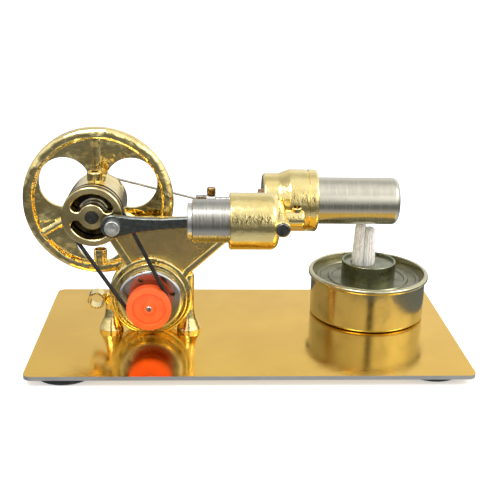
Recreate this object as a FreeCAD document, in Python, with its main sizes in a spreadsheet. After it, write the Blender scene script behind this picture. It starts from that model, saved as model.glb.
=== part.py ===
import FreeCAD, Part
import math
import os
import Sketcher

# Table-top hot-air (Stirling) engine with a belt-driven generator and a spirit burner.
# Frame: origin under the middle of the whole engine on the surface it stands on,
# +X from flywheel to burner, +Y away from the crank disc side, +Z up. Millimetres.
#
# Driving dimensions. Heights called "rise" are above the base plate's top face, and
# places called "at" are distances from the plate's centre, to the right or to the back.
SIZES = {
    "plate_length": 160.0, "plate_depth": 83.2, "plate_thickness": 1.5, "plate_corner": 3.0,
    "pad_height": 2.78, "pad_radius": 11.0, "pad_round": 1.0, "pad_inset_across": 13.3,
    "pad_inset_left": 12.2, "pad_inset_right": 13.9,
    "shaft_offset": 57.2, "shaft_rise": 49.75, "shaft_radius": 2.5, "shaft_nose": 15.3,
    "shaft_tail": 9.6,
    "crank_radius": 8.0, "crank_angle": -15.5,
    "disc_radius": 10.92, "disc_front": 15.48, "disc_rear": 10.4, "disc_land": 1.65,
    "belt_groove": 1.9, "slot_circle": 6.6, "slot_half_width": 1.95, "slot_start": 30.0,
    "slot_end": 146.0,
    "belt_radius": 0.75, "belt_on_disc": 10.25, "belt_on_pulley": 7.65, "belt_gap": 0.05,
    "rod_length": 36.0, "rod_thickness": 2.4, "rod_big_end": 4.2, "rod_small_end": 1.8,
    "rod_shoulder": 3.05, "rod_neck": 2.4, "rod_waist": 1.9, "crank_bush_radius": 2.4,
    "crank_screw_radius": 1.5, "crank_screw_head": 2.7, "crank_screw_tall": 2.5,
    "crank_screw_socket": 1.4, "open_pivot_gap": 0.3,
    "power_axis": 18.8, "liner_radius": 7.75, "liner_left": 21.46, "liner_right": 6.5,
    "piston_radius": 6.5, "piston_bore": 5.5, "piston_left": 23.1, "piston_length": 22.0,
    "piston_head": 2.5, "piston_gap": 0.05, "wrist_pin_radius": 1.0, "pin_gap": 0.03,
    "power_holder_radius": 10.2, "power_holder_left": 8.2, "power_holder_right": 9.16,
    "holder_round": 3.0,
    "bridge_front": 12.0, "bridge_rear": 2.0, "bridge_low": 37.5, "bridge_high": 52.5,
    "displacer_axis": 10.7, "displacer_rise": 49.3, "displacer_crank": 9.0,
    "link_length": 37.2, "link_radius": 0.5, "eye_radius": 1.15,
    "holder_left": 5.2, "neck_radius": 10.5, "neck_right": 11.4, "holder_radius": 12.1,
    "holder_start": 15.3, "holder_right": 21.9, "ring_right": 26.4, "ring_step": 0.35,
    "cap_radius": 9.1, "cap_wall": 0.5, "cap_left": 11.2, "cap_right": 58.0, "cap_round": 2.2,
    "chamber_left": 9.2, "displacer_radius": 8.2, "displacer_left": 22.9,
    "displacer_length": 26.0, "displacer_wall": 0.6, "drive_rod_radius": 1.2,
    "guide_radius": 3.5, "guide_left": 3.6,
    "fork_left": 20.4, "fork_right": 16.4, "barrel_right": 12.7, "barrel_radius": 2.2,
    "fork_half_width": 1.4, "fork_half_height": 1.6, "fork_slot": 1.2, "clevis_pin_radius": 0.6,
    "clamp_screw_at": 14.5, "clamp_screw_head": 1.7, "clamp_screw_height": 2.4,
    "port_at": 10.1, "port_rise": 49.8, "port_front": 29.3, "port_rear": -0.8, "port_boss": 2.8,
    "port_round": 0.3, "port_plug": 2.3, "port_plug_length": 1.7, "port_seat": 1.5, "port_hole": 0.9,
    "lug_left": 12.4, "lug_right": 20.8, "lug_rise": 45.3, "lug_radius": 3.6, "lug_front": 0.6,
    "lug_screw_at": 17.6, "lug_screw_radius": 1.9, "lug_screw_rise": 49.8,
    "wheel_radius": 28.4, "wheel_front": 3.6, "wheel_rear": 8.9, "rim_inner": 24.3,
    "web_front": 5.7, "web_rear": 7.5, "hub_radius": 10.6, "hub_rear": 9.6,
    "window_radius": 9.7, "window_circle": 14.5, "spoke_radius": 2.0, "flare_half_width": 4.4,
    "flare_start": 18.0,
    "access_hole": 2.15, "access_boss": 2.6, "access_boss_top": 19.2, "set_screw_radius": 1.5, "set_screw_length": 4.0,
    "housing_radius": 10.9, "housing_front": 9.3, "housing_rear": 3.0, "bearing_radius": 5.5,
    "bearing_width": 4.0, "bearing_gap": 0.02, "oil_boss_radius": 2.8, "oil_boss_rise": 13.8,
    "oil_boss_deep": 3.0, "oil_hole": 1.3,
    "web_back": 1.0, "web_face": 1.5, "rib_face": 3.5, "rib_round": 0.8,
    "motor_at": 37.5, "motor_rise": 14.5, "ring_radius": 16.0, "ring_face": 3.6,
    "plate_gap": 0.05,
    "ring_tube": 14.0, "ring_bore": 12.2, "ring_back": 2.4, "tube_front": 5.3,
    "can_front": 8.0, "can_rear": 3.2, "can_wall": 0.8, "end_cap_radius": 11.0,
    "end_cap_rear": 5.0, "magnet_inner": 9.8, "rotor_radius": 9.4, "motor_shaft": 1.0,
    "pulley_front": 16.2, "pulley_rear": 11.2, "pulley_radius": 8.35, "pulley_recess": 6.1,
    "pulley_recess_depth": 1.1, "pulley_hub": 2.1,
    "left_leg_at": 53.0, "right_leg_at": 23.0, "leg_deep": 1.0, "leg_foot": 4.75,
    "leg_radius": 2.1, "left_leg_top": 16.5, "right_leg_top": 24.4, "screw_radius": 1.5, "screw_head": 2.75,
    "screw_head_height": 1.6, "screw_length": 6.0,
    "socket_at": 58.14, "socket_rise": 13.2, "socket_radius": 3.3, "socket_bore": 2.6,
    "socket_front": 4.4, "socket_rear": 0.4,
    "burner_at": 49.8, "burner_deep": 17.2, "burner_gap": 0.1, "can_radius": 23.1,
    "can_rim": 24.3, "can_height": 18.1, "can_sheet": 0.5, "lid_drop": 3.0, "lid_sheet": 0.6,
    "lid_bead": 0.5, "lid_outer_bead": 20.2, "lid_inner_bead": 15.4,
    "collar_radius": 10.9, "collar_rise": 22.7, "collar_wall": 0.9, "collar_floor": 21.6,
    "wick_radius": 4.9, "wick_rise": 39.0, "wick_low": 2.5, "wick_offset": 2.4,
}

FACING = {
    "up": FreeCAD.Rotation(),
    "front": FreeCAD.Rotation(FreeCAD.Vector(1, 0, 0), 90),
    "right": FreeCAD.Rotation(FreeCAD.Vector(0, 1, 0), 90),
}
TOLERANCE = 1e-4

doc = FreeCAD.newDocument("hot_air_engine")
sheet = doc.addObject("Spreadsheet::Sheet", "Sizes")
for row, (alias, length) in enumerate(SIZES.items(), start=1):
    sheet.set(f"A{row}", alias)
    sheet.set(f"B{row}", str(length))
    sheet.setAlias(f"B{row}", alias)
doc.recompute()


class Size:
    """A number together with the spreadsheet expression that it comes from."""

    def __init__(self, value, text):
        self.value = value
        self.text = text

    def __add__(self, other):
        return Size(self.value + number(other), f"({self.text} + {words(other)})")

    def __radd__(self, other):
        return Size(number(other) + self.value, f"({words(other)} + {self.text})")

    def __sub__(self, other):
        return Size(self.value - number(other), f"({self.text} - {words(other)})")

    def __rsub__(self, other):
        return Size(number(other) - self.value, f"({words(other)} - {self.text})")

    def __mul__(self, other):
        return Size(self.value * number(other), f"({self.text} * {words(other)})")

    __rmul__ = __mul__

    def __truediv__(self, other):
        return Size(self.value / number(other), f"({self.text} / {words(other)})")

    def __neg__(self):
        return Size(-self.value, f"(-1 * {self.text})")


def number(size):
    return size.value if isinstance(size, Size) else float(size)


def words(size):
    return size.text if isinstance(size, Size) else f"{float(size):.6g}"


def size(alias):
    return Size(SIZES[alias], f"Sizes.{alias}")


def root(square):
    return Size(math.sqrt(number(square)), f"sqrt({words(square)})")


def polar(radius, angle):
    """Across and up from the centre, for an angle in degrees."""
    across = Size(math.cos(math.radians(number(angle))), f"cos({words(angle)})")
    upward = Size(math.sin(math.radians(number(angle))), f"sin({words(angle)})")
    return radius * across, radius * upward


def bind(thing, prop, length):
    """Tie a property to the sheet, or set it when the length is a plain number."""
    if isinstance(length, Size):
        thing.setExpression(prop, length.text)


# ---------------------------------------------------------------- places shared by several pieces
pad_height = size("pad_height")
plate_top = pad_height + size("plate_thickness")
half_span = (size("plate_length") / 2 + size("shaft_offset") + size("wheel_radius")) / 2
plate_x = half_span - size("plate_length") / 2
shaft_x = plate_x - size("shaft_offset")
shaft_z = plate_top + size("shaft_rise")
displacer_z = plate_top + size("displacer_rise")
motor_x = plate_x - size("motor_at")
motor_z = plate_top + size("motor_rise")
burner_x = plate_x + size("burner_at")
burner_z = plate_top + size("burner_gap")

pin_across, pin_up = polar(size("crank_radius"), size("crank_angle"))
wrist_x = (shaft_x + pin_across
           + root(size("rod_length") * size("rod_length") - pin_up * pin_up))
link_across, link_up = polar(size("displacer_crank"), size("crank_angle") + 90)
link_pin_x = shaft_x + link_across
link_pin_z = shaft_z + link_up
link_drop = link_pin_z - displacer_z
fork_pin_x = link_pin_x + root(size("link_length") * size("link_length") - link_drop * link_drop)
belt_y = -1 * (size("disc_front") - size("disc_land") - size("belt_groove") / 2)


# ---------------------------------------------------------------- sketch and feature helpers
def plane_of(body, role):
    for feature in body.Origin.OriginFeatures:
        if feature.Role == role:
            return feature
    raise ValueError(role)


def place(thing, at, facing):
    thing.Placement = FreeCAD.Placement(FreeCAD.Vector(*[number(c) for c in at]), FACING[facing])
    for letter, coordinate in zip("xyz", at):
        bind(thing, f"Placement.Base.{letter}", coordinate)


def new_body(label, at, facing="up"):
    body = doc.addObject("PartDesign::Body", label)
    body.Label = label
    place(body, at, facing)
    return body


def new_sketch(body, name, role="XY_Plane", offset=0.0):
    sketch = body.newObject("Sketcher::SketchObject", f"{body.Name}_{name}")
    sketch.AttachmentSupport = [(plane_of(body, role), "")]
    sketch.MapMode = "FlatFace"
    sketch.AttachmentOffset = FreeCAD.Placement(FreeCAD.Vector(0, 0, number(offset)),
                                                FreeCAD.Rotation())
    bind(sketch, "AttachmentOffset.Base.z", offset)
    return sketch


def tie(sketch, constraint, length):
    index = sketch.addConstraint(constraint)
    if isinstance(length, Size):
        sketch.renameConstraint(index, f"size_{index}")
        sketch.setExpression(f"Constraints.size_{index}", length.text)


def pin_point(sketch, geometry, point, across, upward):
    """Hold a point at its distances from the sketch's origin."""
    if number(across) == 0:
        sketch.addConstraint(Sketcher.Constraint("PointOnObject", geometry, point, -2))
    else:
        tie(sketch, Sketcher.Constraint("DistanceX", -1, 1, geometry, point, number(across)), across)
    if number(upward) == 0:
        sketch.addConstraint(Sketcher.Constraint("PointOnObject", geometry, point, -1))
    else:
        tie(sketch, Sketcher.Constraint("DistanceY", -1, 1, geometry, point, number(upward)), upward)


def draw_outline(sketch, corners):
    points = [FreeCAD.Vector(number(a), number(b), 0) for a, b in corners]
    count = len(points)
    first = sketch.GeometryCount
    for i in range(count):
        sketch.addGeometry(Part.LineSegment(points[i], points[(i + 1) % count]), False)
    for i in range(count):
        following = first + (i + 1) % count
        sketch.addConstraint(Sketcher.Constraint("Coincident", first + i, 2, following, 1))
    for i, (across, upward) in enumerate(corners):
        pin_point(sketch, first + i, 1, across, upward)


def draw_circle(sketch, across, upward, radius):
    centre = FreeCAD.Vector(number(across), number(upward), 0)
    index = sketch.addGeometry(Part.Circle(centre, FreeCAD.Vector(0, 0, 1), number(radius)), False)
    pin_point(sketch, index, 3, across, upward)
    tie(sketch, Sketcher.Constraint("Radius", index, number(radius)), radius)


def draw_rectangle(sketch, left, low, right, high):
    draw_outline(sketch, [(left, low), (right, low), (right, high), (left, high)])


def extrude(body, kind, name, sketch, length):
    feature = body.newObject(f"PartDesign::{kind}", f"{body.Name}_{name}")
    feature.Profile = sketch
    feature.Length = number(length)
    bind(feature, "Length", length)
    sketch.Visibility = False
    return feature


def pad(body, name, draw, start, length):
    """Add a raised shape that starts at a height along the body's own Z."""
    sketch = new_sketch(body, f"{name}_outline", offset=start)
    draw(sketch)
    return extrude(body, "Pad", name, sketch, length)


def cut(body, name, draw, top, depth):
    """Remove a shape downwards from a height along the body's own Z."""
    sketch = new_sketch(body, f"{name}_outline", offset=top)
    draw(sketch)
    return extrude(body, "Pocket", name, sketch, depth)


def bore(body, name, across, upward, radius, top, depth):
    return cut(body, name, lambda sketch: draw_circle(sketch, across, upward, radius), top, depth)


def boss(body, name, across, upward, radius, start, length):
    return pad(body, name, lambda sketch: draw_circle(sketch, across, upward, radius), start, length)


def revolve(body, name, corners, kind="Revolution"):
    sketch = new_sketch(body, f"{name}_profile", role="XZ_Plane")
    draw_outline(sketch, corners)
    feature = body.newObject(f"PartDesign::{kind}", f"{body.Name}_{name}")
    feature.Profile = sketch
    feature.ReferenceAxis = (sketch, ["V_Axis"])
    feature.Angle = 360.0
    sketch.Visibility = False
    return feature


def rims(shape, radius, height, across=0.0, upward=0.0):
    """Names of the circular edges with this radius and height about an axis along Z."""
    found = []
    for index, edge in enumerate(shape.Edges, start=1):
        curve = edge.Curve
        if not isinstance(curve, Part.Circle):
            continue
        centre = FreeCAD.Vector(number(across), number(upward), number(height))
        if (abs(curve.Radius - number(radius)) < TOLERANCE
                and (curve.Center - centre).Length < TOLERANCE):
            found.append(f"Edge{index}")
    return found


def dress(body, kind, name, edges, length):
    """Fillet or chamfer named edges of the body's last feature."""
    base = body.Tip
    if not edges:
        raise ValueError(f"{body.Label}: no edge for {name}")
    feature = body.newObject(f"PartDesign::{kind}", f"{body.Name}_{name}")
    feature.Base = (base, edges)
    prop = "Radius" if kind == "Fillet" else "Size"
    setattr(feature, prop, number(length))
    bind(feature, prop, length)
    body.Tip = feature
    doc.recompute()
    return feature


def round_rims(body, name, places, length, kind="Fillet"):
    doc.recompute()
    edges = []
    for radius, height in places:
        edges += rims(body.Tip.Shape, radius, height)
    return dress(body, kind, name, edges, length)


def turned(label, at, facing, corners, rounds=(), chamfers=()):
    """A piece turned about its own Z: corners are (radius, height), and rounds and
    chamfers are (length, [corner, ...])."""
    body = new_body(label, at, facing)
    revolve(body, "turn", corners)
    for index, (length, places) in enumerate(rounds):
        round_rims(body, f"round_{index}", places, length)
    for index, (length, places) in enumerate(chamfers):
        round_rims(body, f"chamfer_{index}", places, length, "Chamfer")
    return body


def tube(label, at, facing, inner, outer, length, **dressing):
    return turned(label, at, facing,
                  [(inner, 0), (outer, 0), (outer, length), (inner, length)], **dressing)


def rod(label, at, facing, radius, length, **dressing):
    return turned(label, at, facing,
                  [(0, 0), (radius, 0), (radius, length), (0, length)], **dressing)


def primitive(kind, name, at, facing="up", **lengths):
    thing = doc.addObject(f"Part::{kind}", name)
    for prop, length in lengths.items():
        setattr(thing, prop, number(length))
        bind(thing, prop, length)
    place(thing, at, facing)
    return thing


def boolean(kind, label, base, tool):
    thing = doc.addObject(f"Part::{kind}", label)
    thing.Label = label
    thing.Base = base
    thing.Tool = tool
    return thing


def fused(label, shapes):
    thing = doc.addObject("Part::MultiFuse", label)
    thing.Label = label
    thing.Shapes = shapes
    return thing


# ---------------------------------------------------------------- base plate, pads and screws
LEGS = {"left": plate_x - size("left_leg_at"), "right": plate_x - size("right_leg_at")}


def make_base_plate():
    body = new_body("base_plate", (plate_x, 0, pad_height))
    half_length = size("plate_length") / 2
    half_depth = size("plate_depth") / 2
    thickness = size("plate_thickness")

    def outline(sketch):
        draw_rectangle(sketch, -half_length, -half_depth, half_length, half_depth)

    pad(body, "sheet", outline, 0, thickness)
    doc.recompute()
    upright = [f"Edge{i}" for i, edge in enumerate(body.Tip.Shape.Edges, start=1)
               if abs(edge.BoundBox.ZLength - number(thickness)) < TOLERANCE]
    dress(body, "Fillet", "corners", upright, size("plate_corner"))
    for side, leg_x in LEGS.items():
        bore(body, f"{side}_screw_hole", leg_x - plate_x, -size("leg_deep"),
             size("screw_radius") + 0.1, thickness, thickness)
    return body


def make_rubber_feet():
    """Round-edged rubber discs, one under each corner of the plate."""
    across = size("plate_length") / 2 - size("pad_inset_across")
    half_depth = size("plate_depth") / 2
    radius = size("pad_radius")
    feet = []
    for depth_name, way_y in (("front", -1), ("rear", 1)):
        for side, way_x in (("left", -1), ("right", 1)):
            deep = half_depth - size(f"pad_inset_{side}")
            feet.append(rod(f"foot_{depth_name}_{side}", (plate_x + across * way_x, deep * way_y, 0),
                            "up", radius, pad_height, rounds=[(size("pad_round"), [(radius, 0)])]))
    return feet


def make_frame_screws():
    """Two slotted cap screws that come up through the plate into the legs."""
    screws = []
    head = size("screw_head_height")
    for side, leg_x in LEGS.items():
        at = (leg_x, -size("leg_deep"), pad_height - head)
        cap = primitive("Cylinder", f"{side}_screw_cap", at, Radius=size("screw_head"), Height=head)
        shank = primitive("Cylinder", f"{side}_screw_shank", at, Radius=size("screw_radius"),
                          Height=head + size("screw_length"))
        slot_at = (leg_x - size("screw_head"), -size("leg_deep") - 0.3, pad_height - head)
        slot = primitive("Box", f"{side}_screw_slot", slot_at, Length=size("screw_head") * 2,
                         Width=0.6, Height=0.7)
        whole = fused(f"{side}_screw_blank", [cap, shank])
        screws.append(boolean("Cut", f"{side}_screw", whole, slot))
    group = doc.addObject("Part::Compound", "frame_screws")
    group.Label = "frame_screws"
    group.Links = screws
    return group


# ---------------------------------------------------------------- castings
def make_engine_frame():
    """Front-facing casting: own X across, own Y up from the plate's top, own Z to the front."""
    body = new_body("engine_frame", (plate_x, size("web_back"), plate_top), "front")
    back = size("web_back")
    motor = (-size("motor_at"), size("motor_rise"))
    shaft = (-size("shaft_offset"), size("shaft_rise"))
    right_face = -size("power_holder_left")
    web = [(-41.3, 22.5), (-46.7, 27.0), (-54.3, 39.5), (-54.3, 45.5), (right_face, 45.5),
           (right_face, 36.9), (-22.0, 24.4), (-26.8, 17.5)]
    recess = [(-43.2, 27.2), (-52.3, 42.2), (right_face - 2.0, 42.2),
              (right_face - 2.0, 38.7), (-24.0, 26.6), (-28.0, 20.5)]
    pad(body, "web", lambda s: draw_outline(s, web), 0, back + size("rib_face"))
    cut(body, "web_recess", lambda s: draw_outline(s, recess), back + size("rib_face"),
        size("rib_face") - size("web_face"))
    doc.recompute()
    inner_corners = [f"Edge{i}" for i, edge in enumerate(body.Tip.Shape.Edges, start=1)
                     if edge.BoundBox.ZMin > number(back + size("web_face")) - TOLERANCE
                     and edge.BoundBox.ZLength > 1.0
                     and edge.BoundBox.ZLength < number(size("rib_face") - size("web_face")) + 0.01]
    dress(body, "Fillet", "recess_corners", inner_corners, 1.0)
    front_edges = [f"Edge{i}" for i, edge in enumerate(body.Tip.Shape.Edges, start=1)
                   if min(v.Z for v in edge.Vertexes) > number(back + size("rib_face")) - 0.01]
    dress(body, "Fillet", "rib_beads", front_edges, size("rib_round"))
    boss(body, "housing", *shaft, size("housing_radius"), back - size("housing_rear"),
         size("housing_rear") + size("housing_front"))
    boss(body, "socket", -size("socket_at"), size("socket_rise"), size("socket_radius"),
         back - size("socket_rear"), size("socket_rear") + size("socket_front"))
    bore(body, "motor_bore", *motor, size("ring_tube"), back + size("tube_front"),
         size("tube_front") + size("ring_back"))
    bore(body, "shaft_tunnel", *shaft, size("bearing_radius") - 1, back + size("housing_front"),
         size("housing_front") + size("housing_rear"))
    bore(body, "front_bearing_seat", *shaft, size("bearing_radius"), back + size("housing_front"),
         size("bearing_width"))
    bore(body, "rear_bearing_seat", *shaft, size("bearing_radius"),
         back - size("housing_rear") + size("bearing_width"), size("bearing_width"))
    return finish_frame(body)


def make_motor_ring():
    """Stepped ring that holds the generator: a rounded bead and a longer thin tube."""
    bore_radius = size("ring_bore")
    outer = size("ring_radius")
    tube_radius = size("ring_tube")
    step = size("ring_back") + size("ring_face")
    length = size("ring_back") + size("tube_front")
    body = turned("motor_ring", (motor_x, size("ring_back"), motor_z), "front",
                  [(bore_radius, 0), (outer, 0), (outer, step), (tube_radius, step),
                   (tube_radius, length), (bore_radius, length)],
                  rounds=[(1.1, [(outer, step)]), (0.5, [(tube_radius, length), (outer, 0)]),
                          (0.3, [(bore_radius, length)])])
    level = size("motor_rise")
    cut(body, "plate_flat", lambda s: draw_rectangle(s, -1 * outer, -1 * level - 5, outer,
                                                     -1 * level + size("plate_gap")),
        length + 1, length + 2)
    return body


def finish_frame(casting):
    """Adds the generator's ring, the flared legs and the oil boss, then drills the whole."""
    casting.Label = "engine_frame_casting"
    foot = size("leg_foot")
    narrow = size("leg_radius")
    thread = size("screw_radius")
    depth = size("screw_length")
    pieces = [casting, make_motor_ring()]
    for side, leg_x in LEGS.items():
        top = size(f"{side}_leg_top")
        pieces.append(turned(f"{side}_leg", (leg_x, -size("leg_deep"), plate_top), "up",
                             [(thread, 0), (foot, 0), (foot, 1.1), (narrow + 0.7, 5.4),
                              (narrow, 9.0), (narrow, top), (0, top), (0, depth), (thread, depth)],
                             rounds=[(0.4, [(foot, 1.1)]), (5.0, [(narrow + 0.7, 5.4)]),
                                     (narrow - 0.2, [(narrow, top)])]))
    oil_start = size("bearing_radius") + 2
    oil_length = size("oil_boss_rise") - oil_start
    pieces.append(rod("oil_boss", (shaft_x, -size("oil_boss_deep"), shaft_z + oil_start), "up",
                      size("oil_boss_radius"), oil_length,
                      rounds=[(0.5, [(size("oil_boss_radius"), oil_length)])]))
    whole = fused("engine_frame_solid", pieces)
    drills = [
        primitive("Cylinder", "oil_hole", (shaft_x, -size("oil_boss_deep"), shaft_z),
                  Radius=size("oil_hole"), Height=size("oil_boss_rise") + 1),
        primitive("Cylinder", "socket_hole", (plate_x - size("socket_at"), size("web_back") + 4,
                                              plate_top + size("socket_rise")), "front",
                  Radius=size("socket_bore"), Height=size("web_back") + size("socket_front") + 8),
    ]
    return boolean("Cut", "engine_frame", whole, fused("frame_drills", drills))


def make_cylinder_block():
    """The two cylinder holders, the bridge between them and the gas port's boss."""
    power_left = plate_x - size("power_holder_left")
    power_length = size("power_holder_left") + size("power_holder_right")
    power = rod("power_holder", (power_left, -size("power_axis"), shaft_z), "right",
                size("power_holder_radius"), power_length,
                rounds=[(size("holder_round"), [(size("power_holder_radius"), power_length)]),
                        (0.5, [(size("power_holder_radius"), 0)])])
    left = size("holder_left")
    neck = size("neck_radius")
    wide = size("holder_radius")
    neck_end = size("neck_right") - left
    wide_start = size("holder_start") - left
    wide_end = size("holder_right") - left
    displacer = turned("displacer_holder", (plate_x + left, size("displacer_axis"), displacer_z),
                       "right", [(0, 0), (neck, 0), (neck, neck_end), (wide, wide_start),
                                 (wide, wide_end), (0, wide_end)],
                       rounds=[(1.0, [(neck, 0)]), (2.5, [(neck, neck_end)]),
                               (1.5, [(wide, wide_start)])])
    bridge = primitive("Box", "bridge", (power_left, -size("bridge_front"),
                                         plate_top + size("bridge_low")),
                       Length=power_length, Width=size("bridge_front") + size("bridge_rear"),
                       Height=size("bridge_high") - size("bridge_low"))
    port_x = plate_x + size("port_at")
    port_z = plate_top + size("port_rise")
    port_length = size("port_front") + size("port_rear")
    port = rod("port_boss", (port_x, size("port_rear"), port_z), "front", size("port_boss"),
               port_length, rounds=[(size("port_round"), [(size("port_boss"), port_length)])])
    lug_length = size("lug_right") - size("lug_left")
    lug = rod("lug", (plate_x + size("lug_left"), -size("lug_front"), plate_top + size("lug_rise")),
              "right", size("lug_radius"), lug_length,
              rounds=[(1.4, [(size("lug_radius"), 0), (size("lug_radius"), lug_length)])])
    lug_top = size("lug_screw_rise") - size("lug_rise")
    lug_boss = tube("lug_boss", (plate_x + size("lug_screw_at"), -size("lug_front") - 0.4,
                                 plate_top + size("lug_rise")), "up", 0, size("lug_screw_radius"),
                    lug_top, rounds=[(0.4, [(size("lug_screw_radius"), lug_top)])])
    whole = fused("cylinder_block_solid", [power, displacer, bridge, port, lug, lug_boss])
    liner_end = size("liner_right") + size("power_holder_left")
    cap = size("cap_radius")
    inner = cap - size("cap_wall")
    tools = [
        primitive("Cylinder", "lug_dimple", (plate_x + size("lug_screw_at"),
                                             -size("lug_front") - 0.4,
                                             plate_top + size("lug_screw_rise") - 1.2),
                  Radius=size("lug_screw_radius") - 0.7, Height=2.0),
        primitive("Cylinder", "power_bore", (power_left - 1, -size("power_axis"), shaft_z), "right",
                  Radius=size("liner_radius"), Height=liner_end + 1),
        primitive("Cylinder", "cap_bore", (plate_x + size("cap_left"), size("displacer_axis"),
                                           displacer_z), "right",
                  Radius=cap, Height=size("holder_right")),
        primitive("Cylinder", "chamber", (plate_x + size("chamber_left"), size("displacer_axis"),
                                          displacer_z), "right", Radius=inner, Height=5.0),
        primitive("Cylinder", "guide_bore", (plate_x + left - 1, size("displacer_axis"),
                                             displacer_z), "right",
                  Radius=size("guide_radius"), Height=6.0),
        primitive("Cylinder", "port_passage", (port_x, 4.5, port_z), "front",
                  Radius=size("port_hole"), Height=4.5 + size("port_front")),
        primitive("Cylinder", "port_seat", (port_x, size("port_seat") - size("port_front"),
                                            port_z), "front",
                  Radius=size("port_plug"), Height=size("port_seat") * 2),
        primitive("Cylinder", "power_passage", (power_left + liner_end - 1, -size("power_axis"),
                                                port_z), "right",
                  Radius=size("port_hole"), Height=plate_x + size("port_at") - power_left
                  - liner_end + 1),
    ]
    return boolean("Cut", "cylinder_block", whole, fused("block_bores", tools))


def make_bearings():
    pieces = []
    width = size("bearing_width")
    inner = size("shaft_radius") + size("bearing_gap")
    outer = size("bearing_radius")
    seats = {"front": -size("housing_front") + width, "rear": size("housing_rear")}
    for end, rear_y in seats.items():
        corners = [(inner, 0), (inner + 0.9, 0), (inner + 0.9, 0.25), (outer - 0.8, 0.25),
                   (outer - 0.8, 0), (outer, 0), (outer, width), (outer - 0.8, width),
                   (outer - 0.8, width - 0.25), (inner + 0.9, width - 0.25),
                   (inner + 0.9, width), (inner, width)]
        pieces.append(turned(f"bearing_{end}", (shaft_x, rear_y, shaft_z), "front", corners))
    return pieces


def make_port_plug():
    length = size("port_plug_length")
    return rod("transfer_port_plug", (plate_x + size("port_at"),
                                      size("port_seat") - size("port_front"),
                                      plate_top + size("port_rise")), "front",
               size("port_plug"), length, chamfers=[(0.3, [(size("port_plug"), length)])])


# ---------------------------------------------------------------- crankshaft group
def make_crankshaft():
    length = size("shaft_nose") + size("shaft_tail")
    radius = size("shaft_radius")
    return rod("crankshaft", (shaft_x, size("shaft_tail"), shaft_z), "front", radius, length,
               chamfers=[(0.3, [(radius, 0), (radius, length)])])


def make_crank_disc():
    """Belt disc on the shaft's nose, with two kidney slots and the crank pin's thread."""
    outer = size("disc_radius")
    thick = size("disc_front") - size("disc_rear")
    groove_top = thick - size("disc_land")
    groove_low = groove_top - size("belt_groove")
    groove = size("belt_on_disc") - size("belt_radius") - size("belt_gap")
    shaft = size("shaft_radius")
    body = turned("crank_disc", (shaft_x, -size("disc_rear"), shaft_z), "front",
                  [(shaft, 0), (outer, 0), (outer, groove_low - 0.25), (groove, groove_low + 0.25),
                   (groove, groove_top - 0.25), (outer, groove_top + 0.25), (outer, thick),
                   (shaft, thick)],
                  chamfers=[(0.35, [(outer, thick), (outer, 0)])])
    middle = size("slot_circle")
    half = size("slot_half_width")
    cuts = []
    for index, (start, end) in enumerate(((size("slot_start"), size("slot_end")),
                                          (size("slot_start") + 180, size("slot_end") + 182))):
        sketch = new_sketch(body, f"slot_{index}", offset=thick)
        draw_kidney(sketch, middle, half, start, end)
        cuts.append(extrude(body, "Pocket", f"slot_cut_{index}", sketch, thick))
        doc.recompute()
    edges = []
    for index, edge in enumerate(body.Tip.Shape.Edges, start=1):
        centre = edge.CenterOfMass
        flat = edge.BoundBox.ZLength < TOLERANCE
        if (flat and abs(edge.BoundBox.ZMax - number(thick)) < TOLERANCE
                and number(shaft) + 0.5 < edge.Vertexes[0].Point.distanceToPoint(
                    FreeCAD.Vector(0, 0, number(thick))) < number(outer) - 1.0):
            edges.append(f"Edge{index}")
    dress(body, "Chamfer", "slot_chamfer", edges, 0.3)
    bore(body, "pin_thread", pin_across, pin_up, size("crank_screw_radius"), thick, 4.0)
    return body


def draw_kidney(sketch, middle, half, start, end):
    """A curved slot about the sketch's origin: two long arcs joined by two round ends."""
    axis = FreeCAD.Vector(0, 0, 1)
    begin = math.radians(number(start))
    finish = math.radians(number(end))

    def arc(across, upward, radius, from_angle, to_angle):
        circle = Part.Circle(FreeCAD.Vector(across, upward, 0), axis, radius)
        return sketch.addGeometry(Part.ArcOfCircle(circle, from_angle, to_angle), False)

    first = polar(middle, start)
    last = polar(middle, end)
    outside = arc(0, 0, number(middle + half), begin, finish)
    inside = arc(0, 0, number(middle - half), begin, finish)
    start_end = arc(number(first[0]), number(first[1]), number(half), begin + math.pi, begin)
    far_end = arc(number(last[0]), number(last[1]), number(half), finish, finish + math.pi)
    sketch.addConstraint(Sketcher.Constraint("Coincident", outside, 3, -1, 1))
    sketch.addConstraint(Sketcher.Constraint("Coincident", inside, 3, -1, 1))
    sketch.addConstraint(Sketcher.Constraint("Tangent", outside, 1, start_end, 2))
    sketch.addConstraint(Sketcher.Constraint("Tangent", inside, 1, start_end, 1))
    sketch.addConstraint(Sketcher.Constraint("Tangent", outside, 2, far_end, 1))
    sketch.addConstraint(Sketcher.Constraint("Tangent", inside, 2, far_end, 2))
    tie(sketch, Sketcher.Constraint("Radius", outside, number(middle + half)), middle + half)
    tie(sketch, Sketcher.Constraint("Radius", inside, number(middle - half)), middle - half)
    tie(sketch, Sketcher.Constraint("DistanceX", -1, 1, start_end, 3, number(first[0])), first[0])
    tie(sketch, Sketcher.Constraint("DistanceX", -1, 1, far_end, 3, number(last[0])), last[0])


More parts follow.
